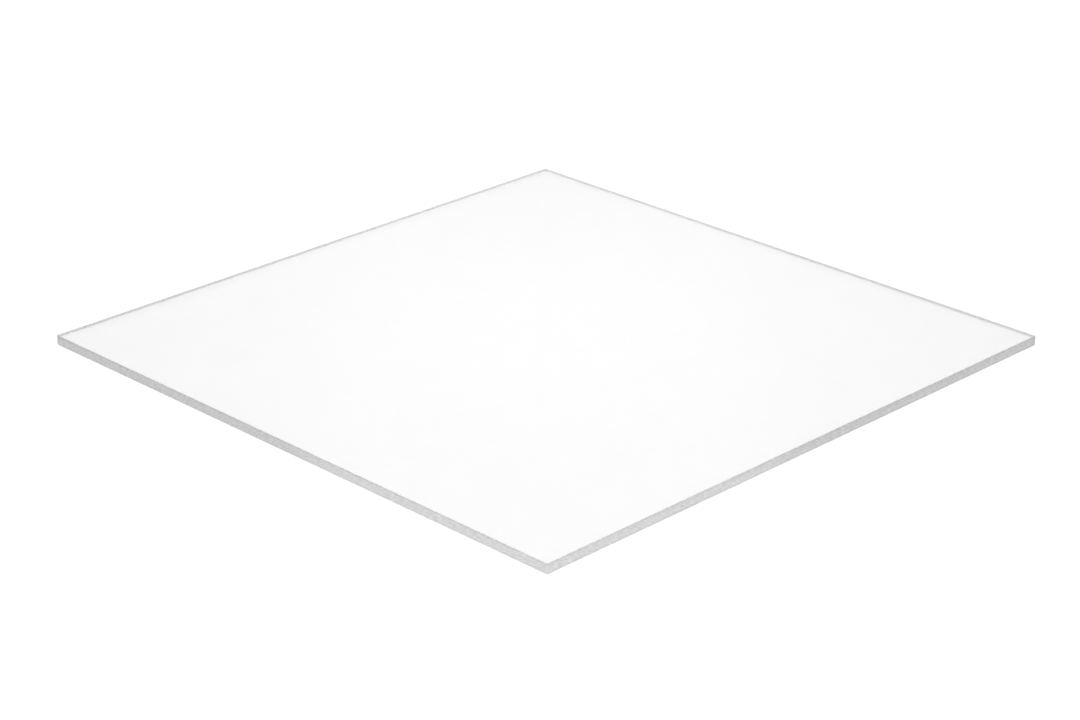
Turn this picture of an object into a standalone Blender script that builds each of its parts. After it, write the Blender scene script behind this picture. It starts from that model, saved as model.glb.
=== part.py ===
"""Square sheet of translucent cast acrylic, one piece of raw stock lying flat.

Metres, +Z up. The origin is the middle of the underside, X and Y run along the
sheet's sides and Z is its thickness.

The blank is a plain slab. Its four upright corners are eased to a small radius,
and the sharp arris between each broad face and the sawn edges is then scraped off
all the way round, over the straight sides and round the corners alike.
"""

import math

import bmesh
import bpy

# Driving dimensions
SHEET_LENGTH = 0.3048
SHEET_WIDTH = 0.3048
SHEET_THICKNESS = 0.0045
CORNER_RADIUS = 0.0005
ARRIS_WIDTH = 0.00025

# How finely the two easings are stepped
CORNER_STEPS = 6
ARRIS_STEPS = 2

# An edge that turns by more than this is an arris; the facets of a corner turn by less
ARRIS_ANGLE = math.radians(40)

# Finish: pale, glossy and see-through, at the refractive index of acrylic
ACRYLIC_COLOUR = (0.92, 0.93, 0.93, 1.0)
ACRYLIC_ROUGHNESS = 0.08
ACRYLIC_METALLIC = 0.0
ACRYLIC_IOR = 1.49
ACRYLIC_TRANSMISSION = 0.85


def clear_scene():
    """Remove every object of the scene."""
    for item in list(bpy.data.objects):
        bpy.data.objects.remove(item, do_unlink=True)


def make_collection(name):
    """Return a new collection, linked to the scene, that holds the sheet."""
    collection = bpy.data.collections.new(name)
    bpy.context.scene.collection.children.link(collection)
    return collection


def make_acrylic():
    """Return the one material of the sheet."""
    material = bpy.data.materials.new("translucent_acrylic")
    material.use_nodes = True
    shader = material.node_tree.nodes["Principled BSDF"]
    shader.inputs["Base Color"].default_value = ACRYLIC_COLOUR
    shader.inputs["Roughness"].default_value = ACRYLIC_ROUGHNESS
    shader.inputs["Metallic"].default_value = ACRYLIC_METALLIC
    shader.inputs["IOR"].default_value = ACRYLIC_IOR
    shader.inputs["Transmission Weight"].default_value = ACRYLIC_TRANSMISSION
    return material


def saw_blank(name):
    """Return the sawn slab at its full size, standing on the plane z = 0."""
    bpy.ops.mesh.primitive_cube_add(size=1.0, location=(0.0, 0.0, SHEET_THICKNESS / 2))
    blank = bpy.context.active_object
    blank.name = name
    blank.scale = (SHEET_LENGTH, SHEET_WIDTH, SHEET_THICKNESS)
    bpy.ops.object.transform_apply(location=False, rotation=False, scale=True)
    return blank


def weigh_upright_edges(blank):
    """Give the four upright edges, and no other, a bevel weight of one."""
    mesh = bmesh.new()
    mesh.from_mesh(blank.data)
    weight = mesh.edges.layers.float.new("bevel_weight_edge")
    for edge in mesh.edges:
        rise = edge.verts[1].co - edge.verts[0].co
        edge[weight] = 1.0 if abs(rise.z) > SHEET_THICKNESS / 2 else 0.0
    mesh.to_mesh(blank.data)
    mesh.free()


def ease_corners(blank):
    """Round the upright corners to their radius."""
    corner = blank.modifiers.new("corner_radius", "BEVEL")
    corner.limit_method = "WEIGHT"
    corner.offset_type = "OFFSET"
    corner.width = CORNER_RADIUS
    corner.segments = CORNER_STEPS
    corner.harden_normals = True


def scrape_arrises(blank):
    """Take the sharp arris off round both broad faces, as a scraper leaves it."""
    arris = blank.modifiers.new("scraped_arris", "BEVEL")
    arris.limit_method = "ANGLE"
    arris.angle_limit = ARRIS_ANGLE
    arris.offset_type = "OFFSET"
    arris.width = ARRIS_WIDTH
    arris.segments = ARRIS_STEPS
    arris.harden_normals = True


def main():
    """Make the sheet and put it in a collection of its own."""
    clear_scene()
    sheet = saw_blank("acrylic_sheet")
    weigh_upright_edges(sheet)
    sheet.data.shade_smooth()
    ease_corners(sheet)
    scrape_arrises(sheet)
    sheet.data.materials.append(make_acrylic())

    holder = make_collection("translucent_acrylic_sheet")
    for other in list(sheet.users_collection):
        other.objects.unlink(sheet)
    holder.objects.link(sheet)


main()
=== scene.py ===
"""Square sheet of translucent cast acrylic, lying flat on a pale studio floor.

The sheet is one closed surface. Its two broad faces are as the casting plates left
them, glossy and very slightly wavy. Its four sides are as the saw left them, with the
fine ripple of the teeth, and a scraper has taken the sharp arris off all the way round.
"""

import logging
import math
from abc import ABC, abstractmethod
from dataclasses import dataclass, field
from enum import Enum
from functools import cached_property

import bpy
import numpy as np
from mathutils import Euler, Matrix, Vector


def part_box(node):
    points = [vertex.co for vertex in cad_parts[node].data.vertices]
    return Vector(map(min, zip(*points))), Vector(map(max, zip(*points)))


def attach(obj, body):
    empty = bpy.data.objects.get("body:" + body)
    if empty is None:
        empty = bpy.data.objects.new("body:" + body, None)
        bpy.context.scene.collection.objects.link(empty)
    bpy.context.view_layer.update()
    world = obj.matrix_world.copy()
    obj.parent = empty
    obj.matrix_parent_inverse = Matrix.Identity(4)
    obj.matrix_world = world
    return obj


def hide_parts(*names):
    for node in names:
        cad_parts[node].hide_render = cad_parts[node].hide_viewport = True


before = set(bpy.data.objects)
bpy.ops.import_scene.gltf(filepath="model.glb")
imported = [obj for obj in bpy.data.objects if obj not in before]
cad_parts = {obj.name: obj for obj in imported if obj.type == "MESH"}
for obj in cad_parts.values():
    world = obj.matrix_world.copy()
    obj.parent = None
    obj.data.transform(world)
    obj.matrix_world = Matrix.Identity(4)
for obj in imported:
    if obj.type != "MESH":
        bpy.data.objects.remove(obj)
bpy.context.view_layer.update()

NODE = "acrylic_sheet"
BODY = "root"

MILLIMETRE = 0.001

Socket = bpy.types.NodeSocket
Node = bpy.types.Node
Tree = bpy.types.NodeTree
Point = tuple[float, float, float]
Colour = tuple[float, float, float]
Rgba = tuple[float, float, float, float]

log = logging.getLogger("acrylic_sheet")


class Zone(Enum):
    """Which finish a facet of the sheet takes; the value is its material slot."""

    FACE = 0
    EDGE = 1
    ARRIS = 2
    UNDERSIDE = 3


class Ray(Enum):
    """The kinds of ray that see the white surroundings, by their output's name."""

    CAMERA = "Is Camera Ray"
    GLOSSY = "Is Glossy Ray"
    TRANSMISSION = "Is Transmission Ray"


def rgba(colour: Colour, gain: float = 1.0) -> Rgba:
    """Make a colour lighter or darker and give it the alpha that a socket wants.

    Args:
        colour: The colour.
        gain: What each channel is multiplied by; none goes past 1.

    Returns:
        The colour with an alpha of 1.
    """
    red, green, blue = (min(channel * gain, 1.0) for channel in colour)
    return red, green, blue, 1.0


@dataclass(frozen=True)
class Wire:
    """Short-hand for laying out one node tree."""

    tree: Tree

    def node(self, kind: str, **settings: object) -> Node:
        """Add a node.

        Args:
            kind: The node's type name, such as "ShaderNodeMath".
            **settings: Properties of the node and the values they take.

        Returns:
            The new node.
        """
        made = self.tree.nodes.new(kind)
        for name, value in settings.items():
            setattr(made, name, value)
        return made

    def feed(self, target: Socket, value: Socket | Rgba | float) -> None:
        """Give an input its value.

        Args:
            target: The input.
            value: An output to join to it, or a plain value to set it to.
        """
        if isinstance(value, Socket):
            self.tree.links.new(value, target)
        else:
            target.default_value = value

    def group(self, tree: Tree, **inputs: Socket | float) -> Node:
        """Place a node group.

        Args:
            tree: The group.
            **inputs: Its inputs by name, and an output or a plain number for each.

        Returns:
            The group's node; the inputs that aren't named keep their defaults.
        """
        made = self.node("ShaderNodeGroup", node_tree=tree)
        for name, value in inputs.items():
            self.feed(made.inputs[name], value)
        return made

    def math(
        self,
        operation: str,
        first: Socket | float,
        second: Socket | float = 0.0,
        clamp: bool = False,
    ) -> Socket:
        """Work out one sum with a Math node.

        Args:
            operation: The Math node's operation.
            first: The first operand, an output or a plain number.
            second: The second operand, an output or a plain number.
            clamp: Whether the result is held between 0 and 1.

        Returns:
            The node's result.
        """
        made = self.node("ShaderNodeMath", operation=operation, use_clamp=clamp)
        self.feed(made.inputs[0], first)
        self.feed(made.inputs[1], second)
        return made.outputs[0]

    def spread(
        self,
        value: Socket,
        taken: tuple[float, float] = (0.0, 1.0),
        given: tuple[Socket | float, Socket | float] = (0.0, 1.0),
    ) -> Socket:
        """Stretch a value from one range over another, and hold it there.

        Args:
            value: The value.
            taken: The ends of the range that it comes in.
            given: What those ends become, outputs or plain numbers.

        Returns:
            The value in its new range.
        """
        made = self.node("ShaderNodeMapRange")
        self.feed(made.inputs["Value"], value)
        for name, end in zip(("From Min", "From Max", "To Min", "To Max"), taken + given):
            self.feed(made.inputs[name], end)
        return made.outputs["Result"]

    def noise(self, place: Socket, scale: Socket | float, detail: float) -> Socket:
        """Add a layer of noise.

        Args:
            place: Where on the noise each point reads it.
            scale: How fine it is.
            detail: How many finer octaves go on top.

        Returns:
            The noise, from 0 to 1 and mostly near the middle.
        """
        made = self.node("ShaderNodeTexNoise")
        self.feed(made.inputs["Vector"], place)
        self.feed(made.inputs["Scale"], scale)
        self.feed(made.inputs["Detail"], detail)
        return made.outputs["Fac"]

    def split(self, place: Socket) -> tuple[Socket, Socket, Socket]:
        """Take a point's X, Y and Z apart.

        Args:
            place: The point.

        Returns:
            The three coordinates.
        """
        made = self.node("ShaderNodeSeparateXYZ")
        self.feed(made.inputs["Vector"], place)
        return made.outputs["X"], made.outputs["Y"], made.outputs["Z"]

    def flat_point(self, x: Socket, y: Socket) -> Socket:
        """Put a point of the XY plane together.

        Args:
            x: Its X.
            y: Its Y.

        Returns:
            The point, with a Z of 0.
        """
        made = self.node("ShaderNodeCombineXYZ")
        self.feed(made.inputs["X"], x)
        self.feed(made.inputs["Y"], y)
        return made.outputs["Vector"]

    def mix_colours(
        self,
        share: Socket,
        none: Socket | Rgba,
        full: Socket | Rgba,
        clamp: bool = True,
    ) -> Socket:
        """Go from one colour to another.

        Args:
            share: How far to go, from 0 to 1.
            none: The colour at 0, an output or a plain colour.
            full: The colour at 1, an output or a plain colour.
            clamp: Whether the share is held between 0 and 1.

        Returns:
            The mixed colour.
        """
        made = self.node("ShaderNodeMix", data_type="RGBA", clamp_factor=clamp)
        # The node has sockets of the same names for numbers and for points as well, so
        # those for colours are picked by their order.
        factor, first, second, result = 0, 6, 7, 2
        self.feed(made.inputs[factor], share)
        self.feed(made.inputs[first], none)
        self.feed(made.inputs[second], full)
        return made.outputs[result]


def new_group(
    name: str, inputs: dict[str, float | None], outputs: tuple[str, ...]
) -> tuple[Wire, bpy.types.bpy_prop_collection, bpy.types.bpy_prop_collection]:
    """Start a shader node group with named sockets.

    Args:
        name: The group's name.
        inputs: Each input's name with its default, a number or None for a vector.
        outputs: The names of the outputs, which are all plain values.

    Returns:
        The group's tree wrapped as a Wire, the sockets that bring its inputs in and
        those that take its outputs, both by name.
    """
    tree = bpy.data.node_groups.new(name, "ShaderNodeTree")
    for label, default in inputs.items():
        kind = "NodeSocketVector" if default is None else "NodeSocketFloat"
        socket = tree.interface.new_socket(label, in_out="INPUT", socket_type=kind)
        if default is not None:
            socket.default_value = default
    for label in outputs:
        tree.interface.new_socket(label, in_out="OUTPUT", socket_type="NodeSocketFloat")
    wire = Wire(tree)
    return wire, wire.node("NodeGroupInput").outputs, wire.node("NodeGroupOutput").inputs


def mottle_group() -> Tree:
    """Build the soft, cloudy unevenness that every finish of the sheet has.

    Two layers of noise, one at Scale and one Finer times as fine, are averaged. Value
    is their mean, and Spread is that mean stretched from Low to High.

    Returns:
        The node group.
    """
    wire, given, put = new_group(
        "cloudy_mottle",
        {"Vector": None, "Scale": 40.0, "Finer": 6.0, "Low": 0.0, "High": 1.0},
        ("Value", "Spread"),
    )
    finer = wire.math("MULTIPLY", given["Scale"], given["Finer"])
    broad = wire.noise(given["Vector"], given["Scale"], detail=2.0)
    fine = wire.noise(given["Vector"], finer, detail=3.0)
    mean = wire.math("MULTIPLY", wire.math("ADD", broad, fine), 0.5)
    wire.feed(put["Value"], mean)
    wire.feed(put["Spread"], wire.spread(mean, given=(given["Low"], given["High"])))
    return wire.tree


def saw_group() -> Tree:
    """Build the marks that a circular saw leaves along a cut side.

    The blade stands only just clear of the sheet, so that its teeth leave the side at a
    shallow slant: the marks are noise drawn out along lines whose height falls by Slant
    times the run. The run is the sum of X and Y without its sign, which on any of the
    four sides is the distance from one of its ends. Chips is the share of a finer noise
    that isn't drawn out and breaks the marks up.

    Returns:
        The node group.
    """
    wire, given, put = new_group(
        "saw_marks",
        {"Vector": None, "Pitch": 0.00038, "Slant": 0.38, "Draw": 0.14, "Chips": 0.25},
        ("Height",),
    )
    chip_scale = 1.2
    usual_noise = (0.3, 0.7)
    x, y, z = wire.split(given["Vector"])
    total = wire.math("ADD", x, y)
    slanted = wire.math("MULTIPLY", wire.math("ABSOLUTE", total), given["Slant"])
    across = wire.math("DIVIDE", wire.math("ADD", z, slanted), given["Pitch"])
    along = wire.math("DIVIDE", total, given["Pitch"])
    drawn = wire.math("MULTIPLY", along, given["Draw"])
    marks = wire.noise(wire.flat_point(across, drawn), 1.0, detail=2.0)
    chips = wire.noise(wire.flat_point(across, along), chip_scale, detail=2.0)
    blend = wire.node("ShaderNodeMix")
    wire.feed(blend.inputs["Factor"], given["Chips"])
    wire.feed(blend.inputs["A"], marks)
    wire.feed(blend.inputs["B"], chips)
    wire.feed(put["Height"], wire.spread(blend.outputs["Result"], taken=usual_noise))
    return wire.tree


def border_group() -> Tree:
    """Build the masks that go with the height on a cut side.

    Border, where the side is darker, is 1 as far as Band from the upper and the lower
    face and falls evenly to 0 over the next Fade. Foot, where painted light stands in for
    the floor's light, is 0 from Rise upwards and grows evenly to 1 over a Fade below it.

    Returns:
        The node group.
    """
    wire, given, put = new_group(
        "side_heights",
        {"Vector": None, "Thickness": 0.0045, "Band": 0.0006, "Fade": 0.0005, "Rise": 0.001},
        ("Border", "Foot"),
    )
    _, _, z = wire.split(given["Vector"])
    nearest = wire.math("MINIMUM", z, wire.math("SUBTRACT", given["Thickness"], z))
    beyond = wire.math("SUBTRACT", nearest, given["Band"])
    faded = wire.math("DIVIDE", beyond, given["Fade"])
    wire.feed(put["Border"], wire.math("SUBTRACT", 1.0, faded, clamp=True))
    under = wire.math("SUBTRACT", given["Rise"], z)
    wire.feed(put["Foot"], wire.math("DIVIDE", under, given["Fade"], clamp=True))
    return wire.tree


@dataclass(frozen=True)
class SharedGroups:
    """The node groups that the finishes are built from, each made once."""

    mottle: Tree = field(default_factory=mottle_group)
    saw: Tree = field(default_factory=saw_group)
    border: Tree = field(default_factory=border_group)


@dataclass(frozen=True)
class SawCut:
    """What the saw leaves on a cut side, and the changes to its colour.

    Next to both faces the side is darker by border_shade of its own colour. The foot
    colour is a painted light, near white, that its lowest part shows from within in place
    of the light that comes in from the white floor.
    """

    pitch: float = 0.38 * MILLIMETRE
    border_shade: float = 0.07
    foot_painted_light: Colour = (0.99, 0.99, 0.99)


@dataclass(frozen=True)
class AcrylicFinish:
    """How one kind of surface of the acrylic looks.

    The body shows through each finish by the same means: the surface bends and mirrors
    light as acrylic does, and the rest of it is the milky haze of the plastic. Lamps
    reach what lies behind the sheet, and every surface on the way dims their light to
    lamp_tint of itself. The inner colour is what the surface shows from within, through
    the rest of the sheet; on the sawn side it is a painted shade, darker than the outer
    colour, and on the arris a painted glint, lighter than it. From outside, the mottle,
    or on a sawn side its marks, makes the colour darker or lighter by up to shade of itself.
    """

    name: str
    colour: Colour = (0.97, 0.97, 0.97)
    inner_colour: Colour = (0.97, 0.97, 0.97)
    transmission: float = 0.55
    ior: float = 1.49
    lamp_tint: float = 0.95
    rough_low: float = 0.01
    rough_high: float = 0.02
    shade: float = 0.02
    mottle_scale: float = 40.0
    bump: float = 0.02
    bump_depth: float = 0.02 * MILLIMETRE
    saw_cut: SawCut | None = None

    def material(self, groups: SharedGroups, thickness: float) -> bpy.types.Material:
        """Build the material.

        Args:
            groups: The node groups that the finishes share.
            thickness: The sheet's thickness.

        Returns:
            The new material.
        """
        made = bpy.data.materials.new(self.name)
        made.use_nodes = True
        wire = Wire(made.node_tree)
        place = wire.node("ShaderNodeTexCoord").outputs["Object"]
        mottle = wire.group(
            groups.mottle,
            Vector=place,
            Scale=self.mottle_scale,
            Low=self.rough_low,
            High=self.rough_high,
        )
        height = lightness = mottle.outputs["Value"]
        inner = rgba(self.inner_colour)
        if self.saw_cut is not None:
            cut = self.saw_cut
            marks = wire.group(groups.saw, Vector=place, Pitch=cut.pitch)
            border = wire.group(groups.border, Vector=place, Thickness=thickness)
            height = marks.outputs["Height"]
            full_drop = cut.border_shade / (2.0 * self.shade)
            drop = wire.math("MULTIPLY", border.outputs["Border"], full_drop)
            lightness = wire.math("SUBTRACT", height, drop)
            # Near the underside the inner colour goes over to the foot's painted light, near
            # white.
            inner = wire.mix_colours(border.outputs["Foot"], inner, rgba(cut.foot_painted_light))
        dark = rgba(self.colour, 1.0 - self.shade)
        light = rgba(self.colour, 1.0 + self.shade)
        outer = wire.mix_colours(lightness, dark, light, clamp=False)
        # From within, the surface shows its inner colour: a painted shade on the sawn side
        # and a painted glint on the arris.
        from_within = wire.node("ShaderNodeNewGeometry").outputs["Backfacing"]
        colour = wire.mix_colours(from_within, outer, inner)
        self.dress(wire, colour, mottle.outputs["Spread"], height)
        return made

    def dress(self, wire: Wire, colour: Socket, roughness: Socket, height: Socket) -> None:
        """Set up the shader, and let the lamps' light past it.

        Args:
            wire: The material's tree.
            colour: The colour over the surface.
            roughness: The roughness over the surface.
            height: The fine relief, from 0 to 1.
        """
        bump = wire.node("ShaderNodeBump")
        wire.feed(bump.inputs["Strength"], self.bump)
        wire.feed(bump.inputs["Distance"], self.bump_depth)
        wire.feed(bump.inputs["Height"], height)

        shader = wire.tree.nodes["Principled BSDF"]
        wire.feed(shader.inputs["Metallic"], 0.0)
        wire.feed(shader.inputs["IOR"], self.ior)
        wire.feed(shader.inputs["Transmission Weight"], self.transmission)
        wire.feed(shader.inputs["Base Color"], colour)
        wire.feed(shader.inputs["Roughness"], roughness)
        wire.feed(shader.inputs["Normal"], bump.outputs["Normal"])

        clear = wire.node("ShaderNodeBsdfTransparent")
        wire.feed(clear.inputs["Color"], rgba((self.lamp_tint,) * 3))
        choose = wire.node("ShaderNodeMixShader")
        to_lamp = wire.node("ShaderNodeLightPath").outputs["Is Shadow Ray"]
        wire.feed(choose.inputs[0], to_lamp)
        wire.feed(choose.inputs[1], shader.outputs[0])
        wire.feed(choose.inputs[2], clear.outputs[0])
        wire.feed(wire.tree.nodes["Material Output"].inputs["Surface"], choose.outputs[0])


CAST_FACE = AcrylicFinish(name="cast_face")
SAWN_EDGE = AcrylicFinish(
    name="sawn_edge",
    colour=(0.77, 0.77, 0.77),
    # Seen from within, through the sheet, the side takes a painted shade, far darker than
    # its outer colour.
    inner_colour=(0.43, 0.43, 0.43),
    transmission=0.3,
    rough_low=0.4,
    rough_high=0.6,
    shade=0.24,
    mottle_scale=300.0,
    bump=0.5,
    bump_depth=0.05 * MILLIMETRE,
    saw_cut=SawCut(),
)
# From outside the scraped arris is darker than the sawn side. From within, its near-white
# inner colour is a painted glint, which shows through the sheet as a light line.
SCRAPED_ARRIS = AcrylicFinish(
    name="scraped_arris",
    colour=(0.7, 0.7, 0.7),
    inner_colour=(0.98, 0.98, 0.98),
    transmission=0.4,
    rough_low=0.2,
    rough_high=0.35,
    shade=0.04,
    mottle_scale=500.0,
    bump=0.3,
    bump_depth=0.03 * MILLIMETRE,
)
CAST_UNDERSIDE = AcrylicFinish(name="cast_underside", transmission=0.9)

FINISHES = {
    Zone.FACE: CAST_FACE,
    Zone.EDGE: SAWN_EDGE,
    Zone.ARRIS: SCRAPED_ARRIS,
    Zone.UNDERSIDE: CAST_UNDERSIDE,
}


@dataclass(frozen=True)
class Waves:
    """A bundle of cosines with random phases.

    Each makes a whole number of turns along the outline, from fewest up to one less
    than limit.
    """

    fewest: int
    limit: int
    count: int

    def total(
        self, along: np.ndarray, length: float, draw: np.random.Generator
    ) -> np.ndarray:
        """Add the cosines up and divide by the root of their count.

        Args:
            along: Distances along the outline.
            length: The outline's length.
            draw: Where the turns and the phases are drawn from.

        Returns:
            The sum at each distance.
        """
        turns = draw.integers(self.fewest, self.limit, self.count)
        phases = draw.uniform(0.0, 2.0 * math.pi, self.count)
        total = np.zeros_like(along)
        for turn, phase in zip(turns, phases):
            total += np.cos(2.0 * math.pi * turn * along / length + phase)
        return total / math.sqrt(self.count)


@dataclass(frozen=True)
class Columns:
    """The columns that the rim stands on, one a row, anticlockwise round the sheet.

    Feet are their points on the inner rectangle and ring is each point's number there,
    normals are the ways that they lean out, and run is their distance along the outline.
    """

    feet: np.ndarray
    normals: np.ndarray
    run: np.ndarray
    ring: np.ndarray


@dataclass
class AcrylicSheet:
    """The sheet: two cast faces joined by one rim that is carried round the outline.

    The outline of every ring of the rim is the inner rectangle, which lies one corner
    radius inside the sides, pushed out by the ring's own offset. A column of the rim
    stands on a point of the inner rectangle and leans out along that side's normal; at
    a corner the columns share the point and fan out through a right angle.
    """

    low: np.ndarray
    high: np.ndarray
    corner_radius: float = 0.3 * MILLIMETRE
    upper_arris: float = 0.25 * MILLIMETRE
    lower_arris: float = 0.1 * MILLIMETRE
    cells: int = 74
    columns_per_cell: int = 10
    corner_steps: int = 8
    arris_steps: int = 4
    edge_rows: int = 12
    wave_depth: float = 0.008 * MILLIMETRE
    wave_length: float = 45.0 * MILLIMETRE
    wave_stretch: float = 1.37
    upper_phase: float = 0.6
    lower_phase: float = 2.1
    ripple_depth: float = 0.012 * MILLIMETRE
    ripple_pitch: float = 1.7 * MILLIMETRE
    ripple_drift: float = 2.0
    drift: Waves = Waves(fewest=3, limit=20, count=6)
    chatter_depth: float = 0.014 * MILLIMETRE
    chatter: Waves = Waves(fewest=40, limit=140, count=10)
    streak_depth: float = 0.006 * MILLIMETRE
    streaks: Waves = Waves(fewest=500, limit=1200, count=24)
    lean: float = 0.35
    seed: int = 7
    points: list[np.ndarray] = field(default_factory=list)
    patches: list[tuple[np.ndarray, Zone]] = field(default_factory=list)

    @property
    def thickness(self) -> float:
        """The sheet's thickness."""
        return float(self.high[2] - self.low[2])

    @property
    def inner_half(self) -> np.ndarray:
        """Half of the inner rectangle's length and width."""
        return (self.high - self.low)[:2] / 2 - self.corner_radius

    @property
    def side_columns(self) -> int:
        """How many columns stand on one side of the inner rectangle."""
        return (self.cells + 2) * self.columns_per_cell

    def add_points(self, points: np.ndarray) -> int:
        """Keep a block of points.

        Args:
            points: The points, one a row.

        Returns:
            The index of the first of them.
        """
        start = sum(len(block) for block in self.points)
        self.points.append(points)
        return start

    def add_faces(self, corners: np.ndarray, zone: Zone) -> None:
        """Keep a block of faces that all have the same number of corners.

        Args:
            corners: The points of one face a row, anticlockwise as seen from outside.
            zone: The finish that they take.
        """
        self.patches.append((corners, zone))

    def face_wave(self, x: np.ndarray, y: np.ndarray, phase: float) -> np.ndarray:
        """How far a cast face dips inwards, from nothing to wave_depth.

        The dip is half the wave depth times one plus the product of two sines, one
        across each diagonal of the sheet. The second is wave_stretch times as long as
        the first, and its phase is twice the first's.

        Args:
            x: Places along the sheet.
            y: Places across it.
            phase: The first sine's phase.

        Returns:
            The depth at each place.
        """
        step = 2.0 * math.pi / self.wave_length
        first = np.sin((x + y) * step + phase)
        second = np.sin((x - y) * step / self.wave_stretch + 2.0 * phase)
        return 0.5 * self.wave_depth * (1.0 + first * second)

    def saw_depth(self, run: np.ndarray, rise: np.ndarray) -> np.ndarray:
        """How far the saw cut in at each point of the rim, never less than nothing.

        Three parts are added: the ripple, a cosine of the distance along the side whose
        phase drifts; the chatter, a few long waves; and the streaks, many short waves.
        All of them move along the side by lean times the height.

        Args:
            run: Distance along the outline.
            rise: Height above the underside.

        Returns:
            The depth at each point.
        """
        draw = np.random.default_rng(self.seed)
        length = float(run.max())
        along = run + self.lean * rise
        drift = self.drift.total(along, length, draw)
        chatter = self.chatter.total(along, length, draw)
        streaks = self.streaks.total(along, length, draw)
        turned = 2.0 * math.pi * along / self.ripple_pitch
        ripple = np.cos(turned + self.ripple_drift * drift)
        depth = (
            self.ripple_depth * ripple
            + self.chatter_depth * chatter
            + self.streak_depth * streaks
        )
        return depth - depth.min()

    @cached_property
    def columns(self) -> Columns:
        """Lay out the columns that the rim stands on, from the +X -Y corner.

        Returns:
            The columns.
        """
        half_x, half_y = self.inner_half
        corners = np.array(
            [[half_x, -half_y], [half_x, half_y], [-half_x, half_y], [-half_x, -half_y]]
        )
        count, steps = self.side_columns, self.corner_steps
        share = np.linspace(0.0, 1.0, count + 1)[:, None]
        turn = np.arange(1, steps) / steps * math.pi / 2.0
        feet, normals, ring = [], [], []
        for side in range(4):
            start, end = corners[side], corners[(side + 1) % 4]
            facing = side * math.pi / 2.0
            feet.append(start + (end - start) * share)
            normals.append(np.tile([math.cos(facing), math.sin(facing)], (count + 1, 1)))
            ring.append(side * count + np.arange(count + 1))
            feet.append(np.tile(end, (steps - 1, 1)))
            normals.append(np.stack([np.cos(facing + turn), np.sin(facing + turn)], 1))
            ring.append(np.full(steps - 1, (side + 1) * count))
        feet, normals = np.concatenate(feet), np.concatenate(normals)
        outline = feet + normals * self.corner_radius
        hops = np.linalg.norm(np.diff(outline, axis=0), axis=1)
        run = np.concatenate([[0.0], np.cumsum(hops)])
        return Columns(feet, normals, run, np.concatenate(ring) % (4 * count))

    def profile(self) -> tuple[np.ndarray, np.ndarray, list[Zone]]:
        """Trace the rim's section from the upper face down to the underside.

        The arrises are quarter circles and the side between them is straight.

        Returns:
            Each ring's offset from the inner rectangle and its height, and the zones of
            the bands: above the first ring, between the rings and below the last one.
        """
        radius, top = self.corner_radius, self.thickness
        bend = np.linspace(0.0, math.pi / 2.0, self.arris_steps + 1)
        upper_out = radius - self.upper_arris * (1.0 - np.sin(bend))
        upper_height = top - self.upper_arris * (1.0 - np.cos(bend))
        lower_out = radius - self.lower_arris * (1.0 - np.cos(bend))
        lower_height = self.lower_arris * (1.0 - np.sin(bend))
        rows = np.linspace(upper_height[-1], lower_height[0], self.edge_rows + 1)[1:-1]
        offsets = np.concatenate([upper_out, np.full(len(rows), radius), lower_out])
        heights = np.concatenate([upper_height, rows, lower_height])
        arris = [Zone.ARRIS] * self.arris_steps
        edge = [Zone.EDGE] * self.edge_rows
        return offsets, heights, [Zone.FACE, *arris, *edge, *arris, Zone.UNDERSIDE]

    def fans(self, border: np.ndarray, ring_start: int) -> np.ndarray:
        """Join the border of a face's grid to the finely divided ring round it.

        Beside each cell, the first half of the ring's steps goes to the border point
        that the cell starts from, the other half to the one that it ends at, and one
        triangle closes the space between the two fans. A corner point of the grid also
        takes the steps that go round its own corner.

        Args:
            border: The border's points, anticlockwise from the +X -Y corner.
            ring_start: The index of the ring's first point.

        Returns:
            The triangles, anticlockwise as seen from above.
        """
        cells, per, count = self.cells, self.columns_per_cell, self.side_columns

        def ring(number: np.ndarray) -> np.ndarray:
            """Find the ring's points by their numbers, which start again after its last."""
            return ring_start + number % (4 * count)

        cell, step = np.arange(cells)[:, None], np.arange(per)
        triangles = []
        for side in range(4):
            start = border[side * cells + cell]
            end = border[(side * cells + cell + 1) % len(border)]
            first = side * count + (cell + 1) * per
            beside = first + step
            own = np.where(step < per // 2, start, end)
            fan = np.stack([ring(beside), ring(beside + 1), own], -1)
            triangles.append(fan.reshape(-1, 3))
            triangles.append(np.concatenate([start, ring(first + per // 2), end], -1))
            turning = (side + 1) * count + np.arange(-per, per)
            corner = np.full(len(turning), border[(side + 1) * cells % len(border)])
            triangles.append(np.stack([ring(turning), ring(turning + 1), corner], -1))
        return np.concatenate(triangles)

    def cast_face(self, zone: Zone) -> int:
        """Build one broad face out to the inner rectangle.

        The middle is a grid of square cells, one cell short of the inner rectangle all
        round, and fans of triangles fill the space between the two.

        Args:
            zone: FACE for the upper face or UNDERSIDE for the lower one.

        Returns:
            The index of the first point of the ring that the rim starts from.
        """
        upward = zone is Zone.FACE
        height = float(self.high[2] if upward else self.low[2])
        phase = self.upper_phase if upward else self.lower_phase
        inwards = -1.0 if upward else 1.0
        cells = self.cells
        line = np.linspace(-1.0, 1.0, cells + 1)
        half = self.inner_half * cells / (cells + 2)
        x, y = np.meshgrid(line * half[0], line * half[1], indexing="ij")
        z = height + inwards * self.face_wave(x, y, phase)
        start = self.add_points(np.stack([x, y, z], -1).reshape(-1, 3))
        grid = start + np.arange(x.size).reshape(x.shape)
        squares = np.stack([grid[:-1, :-1], grid[1:, :-1], grid[1:, 1:], grid[:-1, 1:]], -1)

        _, first = np.unique(self.columns.ring, return_index=True)
        feet = self.columns.feet[first]
        ring = np.column_stack([feet, np.full(len(feet), height)])
        ring_start = self.add_points(ring)
        border = np.concatenate(
            [grid[-1, :-1], grid[:0:-1, -1], grid[0, :0:-1], grid[:-1, 0]]
        )
        for faces in (squares.reshape(-1, 4), self.fans(border, ring_start)):
            self.add_faces(faces if upward else faces[:, ::-1], zone)
        return ring_start

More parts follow.
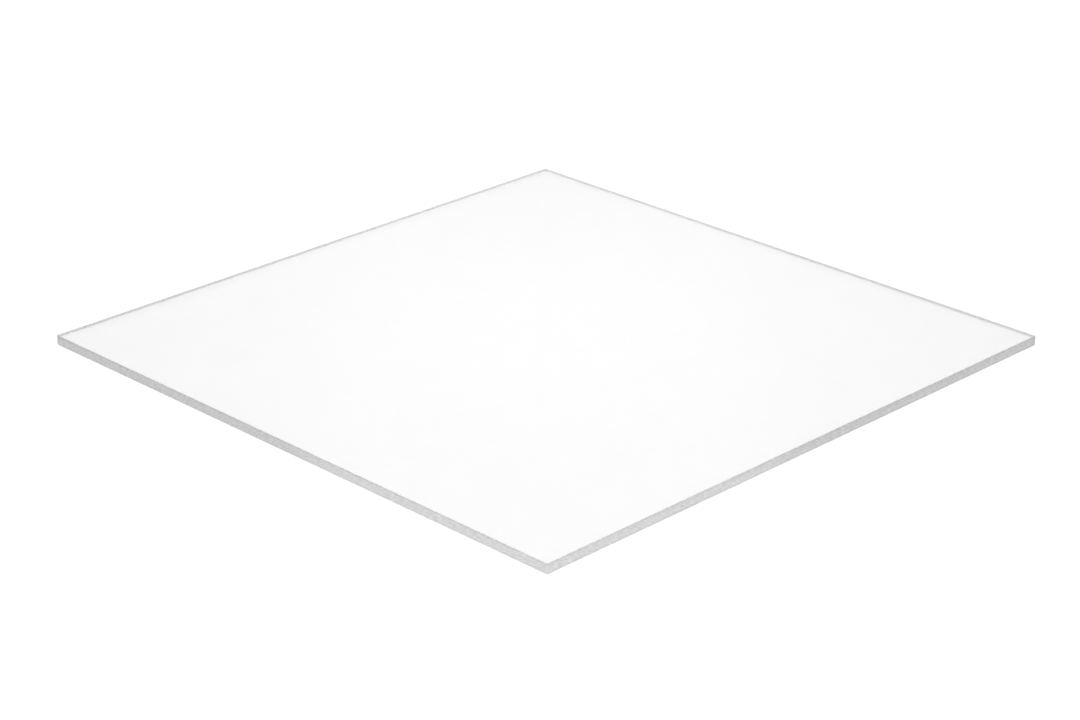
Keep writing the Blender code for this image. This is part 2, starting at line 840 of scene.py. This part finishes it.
    def rim(self, upper_ring: int, lower_ring: int) -> None:
        """Carry the rim's section round the outline and join it to both faces.

        The share of the saw's depth that comes off grows with the ring's offset, from
        nothing where the upper arris meets its face to all of it on the straight side.

        Args:
            upper_ring: The first point of the upper face's ring.
            lower_ring: The first point of the lower face's ring.
        """
        columns = self.columns
        offsets, heights, zones = self.profile()
        count = len(columns.feet)
        rise = np.repeat(heights[:, None], count, 1)
        sawn = (offsets - offsets.min()) / (offsets.max() - offsets.min())
        depth = self.saw_depth(np.repeat(columns.run[None], len(heights), 0), rise)
        reach = offsets[:, None] - depth * sawn[:, None]
        flat = columns.feet[None] + columns.normals[None] * reach[..., None]
        start = self.add_points(
            np.concatenate([flat, rise[..., None] + self.low[2]], -1).reshape(-1, 3)
        )
        rows = start + np.arange(rise.size).reshape(rise.shape)
        rows = np.concatenate(
            [[upper_ring + columns.ring], rows, [lower_ring + columns.ring]]
        )
        for band, zone in enumerate(zones):
            above, below = rows[band], rows[band + 1]
            after, under = np.roll(above, -1), np.roll(below, -1)
            quads = np.stack([above, below, under, after], -1)
            pinched_above, pinched_below = above == after, below == under
            self.add_faces(quads[~pinched_above & ~pinched_below], zone)
            self.add_faces(quads[pinched_above][:, [0, 1, 2]], zone)
            self.add_faces(quads[pinched_below][:, [0, 1, 3]], zone)

    def mesh(self) -> bpy.types.Mesh:
        """Put the points and faces into one mesh.

        Returns:
            The closed mesh, shaded smooth, with each face's finish set.
        """
        points = np.concatenate(self.points).astype(np.float32)
        loops = np.concatenate([corners.reshape(-1) for corners, _ in self.patches])
        sizes = np.concatenate(
            [np.full(len(corners), corners.shape[1]) for corners, _ in self.patches]
        )
        slots = np.concatenate(
            [np.full(len(corners), zone.value) for corners, zone in self.patches]
        )
        starts = np.concatenate([[0], np.cumsum(sizes)[:-1]])
        made = bpy.data.meshes.new("sheet")
        made.vertices.add(len(points))
        made.vertices.foreach_set("co", points.reshape(-1))
        made.loops.add(len(loops))
        made.loops.foreach_set("vertex_index", loops.astype(np.int32))
        made.polygons.add(len(sizes))
        made.polygons.foreach_set("loop_start", starts.astype(np.int32))
        made.polygons.foreach_set("material_index", slots.astype(np.int32))
        made.polygons.foreach_set("use_smooth", np.ones(len(sizes), bool))
        made.update(calc_edges=True)
        made.validate()
        return made

    def build(self) -> bpy.types.Object:
        """Model the sheet, dress it and hang it on the frame.

        Returns:
            The finished piece.
        """
        upper_ring = self.cast_face(Zone.FACE)
        lower_ring = self.cast_face(Zone.UNDERSIDE)
        self.rim(upper_ring, lower_ring)
        piece = bpy.data.objects.new("cast_sheet", self.mesh())
        bpy.context.scene.collection.objects.link(piece)
        groups = SharedGroups()
        for zone in Zone:
            piece.data.materials.append(FINISHES[zone].material(groups, self.thickness))
        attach(piece, BODY)
        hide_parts(NODE)
        log.info("%s: %d faces", piece.name, len(piece.data.polygons))
        return piece


def turned_to(place: Point, aim: Point) -> Euler:
    """Work out the turn that points something's -Z from one point at another.

    Args:
        place: Where it stands.
        aim: What it looks at.

    Returns:
        The turn.
    """
    way = Vector(aim) - Vector(place)
    return way.to_track_quat("-Z", "Y").to_euler()


@dataclass(frozen=True)
class Lamp(ABC):
    """A lamp aimed at a point, which shows neither to the camera nor in the acrylic.

    Places are in metres and the power is in watts.
    """

    name: str
    place: Point
    aim: Point
    power: float

    @abstractmethod
    def light(self) -> bpy.types.Light:
        """Make the lamp's light, all but its power."""

    def build(self) -> bpy.types.Object:
        """Hang the lamp.

        Returns:
            The lamp's object.
        """
        light = self.light()
        light.energy = self.power
        lamp = bpy.data.objects.new(self.name, light)
        lamp.location = self.place
        lamp.rotation_euler = turned_to(self.place, self.aim)
        lamp.visible_camera = False
        lamp.visible_glossy = False
        lamp.visible_transmission = False
        bpy.context.scene.collection.objects.link(lamp)
        log.info("%s: %.2f W", self.name, self.power)
        return lamp


@dataclass(frozen=True)
class SoftLamp(Lamp):
    """A square softbox."""

    size: float

    def light(self) -> bpy.types.Light:
        """Make the softbox.

        Returns:
            Its light.
        """
        light = bpy.data.lights.new(self.name, "AREA")
        light.shape = "SQUARE"
        light.size = self.size
        return light


@dataclass(frozen=True)
class SnootLamp(Lamp):
    """A small lamp with a snoot, which lets out a cone of light with a soft rim.

    The cone is the whole angle that the light fans out through, in degrees, and the
    blend is the share of it, counted in the cosine, that the soft rim takes up.
    """

    radius: float
    cone: float
    blend: float

    def light(self) -> bpy.types.Light:
        """Make the cone of light.

        Returns:
            Its light.
        """
        light = bpy.data.lights.new(self.name, "SPOT")
        light.shadow_soft_size = self.radius
        light.spot_size = math.radians(self.cone)
        light.spot_blend = self.blend
        return light


OVERHEAD_LAMP = SoftLamp(
    name="overhead_lamp",
    place=(-0.06, 0.06, 0.315),
    aim=(-0.06, 0.06, 0.0),
    size=0.22,
    power=0.29,
)
FRONT_LAMP = SoftLamp(
    name="front_lamp",
    place=(0.775, -0.775, 1.07),
    aim=(0.08, -0.08, 0.0),
    size=0.28,
    power=8.9,
)
# The snoot lamp lights the halves of the two near sides that meet at the front corner.
SNOOT_LAMP = SnootLamp(
    name="snoot_lamp",
    place=(1.186, -1.186, 0.37),
    aim=(0.085, -0.085, 0.002),
    radius=0.01,
    power=17.8,
    cone=7.94,
    blend=0.46,
)


@dataclass(frozen=True)
class Studio:
    """The white surroundings: a floor, an even sky, two softboxes and a snoot lamp.

    The floor is part white, which doesn't depend on the light, and part paint, which
    takes the sheet's shadow. The strength of the white is a little over 1, so that the
    mix of the two comes to about 1 under these lamps.
    """

    floor_drop: float = 0.3 * MILLIMETRE
    floor_half: float = 6.0
    floor_colour: Colour = (0.9, 0.9, 0.9)
    white_share: float = 0.9
    white_strength: float = 1.08
    ambient: float = 0.478
    lamps: tuple[Lamp, ...] = (OVERHEAD_LAMP, FRONT_LAMP, SNOOT_LAMP)

    def sees_white(self, wire: Wire) -> Socket:
        """Tell the rays that see the surroundings white from those that are lit by them.

        Args:
            wire: The tree to add to.

        Returns:
            1 for the rays that see white and 0 for the others.
        """
        path = wire.node("ShaderNodeLightPath")
        camera, glossy, transmission = (path.outputs[ray.value] for ray in Ray)
        mirrored = wire.math("MAXIMUM", camera, glossy)
        return wire.math("MAXIMUM", mirrored, transmission)

    def floor_material(self) -> bpy.types.Material:
        """Mix the floor's paint and its white.

        Returns:
            The new material.
        """
        made = bpy.data.materials.new("pale_floor")
        made.use_nodes = True
        made.node_tree.nodes.remove(made.node_tree.nodes["Principled BSDF"])
        wire = Wire(made.node_tree)
        paint = wire.node("ShaderNodeBsdfDiffuse")
        wire.feed(paint.inputs["Color"], rgba(self.floor_colour))
        white = wire.node("ShaderNodeEmission")
        wire.feed(white.inputs["Strength"], self.white_strength)
        mix = wire.node("ShaderNodeMixShader")
        share = wire.math("MULTIPLY", self.sees_white(wire), self.white_share)
        wire.feed(mix.inputs[0], share)
        wire.feed(mix.inputs[1], paint.outputs[0])
        wire.feed(mix.inputs[2], white.outputs[0])
        wire.feed(wire.tree.nodes["Material Output"].inputs["Surface"], mix.outputs[0])
        return made

    def floor(self) -> bpy.types.Object:
        """Lay the pale floor, which looks white and still takes the sheet's shadow.

        Returns:
            The floor's object.
        """
        half, height = self.floor_half, -self.floor_drop
        corners = [(-half, -half), (half, -half), (half, half), (-half, half)]
        mesh = bpy.data.meshes.new("floor")
        mesh.from_pydata([(x, y, height) for x, y in corners], [], [(0, 1, 2, 3)])
        mesh.materials.append(self.floor_material())
        floor = bpy.data.objects.new("floor", mesh)
        bpy.context.scene.collection.objects.link(floor)
        return floor

    def sky(self) -> bpy.types.World:
        """Surround the scene with an even light that looks white where it is seen.

        Returns:
            The world.
        """
        world = bpy.data.worlds.new("surroundings")
        world.use_nodes = True
        bpy.context.scene.world = world
        wire = Wire(world.node_tree)
        lit = world.node_tree.nodes["Background"]
        wire.feed(lit.inputs["Strength"], self.ambient)
        white = wire.node("ShaderNodeBackground")
        for background in (lit, white):
            wire.feed(background.inputs["Color"], rgba((1.0, 1.0, 1.0)))
        mix = wire.node("ShaderNodeMixShader")
        wire.feed(mix.inputs[0], self.sees_white(wire))
        wire.feed(mix.inputs[1], lit.outputs[0])
        wire.feed(mix.inputs[2], white.outputs[0])
        wire.feed(wire.tree.nodes["World Output"].inputs["Surface"], mix.outputs[0])
        return world

    def build(self) -> None:
        """Lay the floor, set the sky and hang the lamps."""
        self.floor()
        self.sky()
        for lamp in self.lamps:
            lamp.build()
        log.info("studio: floor, sky and %d lamps", len(self.lamps))


@dataclass(frozen=True)
class Viewpoint:
    """The photograph's camera, as fitted to the corners of the sheet.

    Angles are in degrees. Azimuth 0 looks along +Y, and azimuth 45 looks across the
    sheet from corner to corner. The roll turns the camera about its own axis.
    """

    azimuth: float = 44.992
    elevation: float = 23.695
    roll: float = 0.044
    distance: float = 1.25104
    aim: Point = (0.00985, -0.0137, 0.0)
    focal_length: float = 95.75
    sensor_width: float = 36.0
    nearest_seen: float = 0.01

    def build(self) -> bpy.types.Object:
        """Set up the camera.

        Returns:
            The camera's object.
        """
        turn, rise = math.radians(self.azimuth), math.radians(self.elevation)
        back = (
            math.sin(turn) * math.cos(rise),
            -math.cos(turn) * math.cos(rise),
            math.sin(rise),
        )
        place = tuple(a + self.distance * b for a, b in zip(self.aim, back))
        lens = bpy.data.cameras.new("camera")
        lens.lens = self.focal_length
        lens.sensor_width = self.sensor_width
        lens.sensor_fit = "HORIZONTAL"
        lens.clip_start = self.nearest_seen
        camera = bpy.data.objects.new("camera", lens)
        camera.location = place
        camera.rotation_euler = turned_to(place, self.aim)
        camera.rotation_euler.rotate_axis("Z", math.radians(self.roll))
        bpy.context.scene.collection.objects.link(camera)
        bpy.context.scene.camera = camera
        log.info("%s: %.3f m from the sheet's middle", camera.name, self.distance)
        return camera


def main() -> None:
    """Build the camera, the sheet and its surroundings."""
    logging.basicConfig(level=logging.INFO, format="%(name)s: %(message)s")
    bpy.context.scene.view_settings.view_transform = "Standard"
    Viewpoint().build()
    low, high = (np.array(corner, float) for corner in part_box(NODE))
    AcrylicSheet(low, high).build()
    Studio().build()


if __name__ == "__main__":
    main()
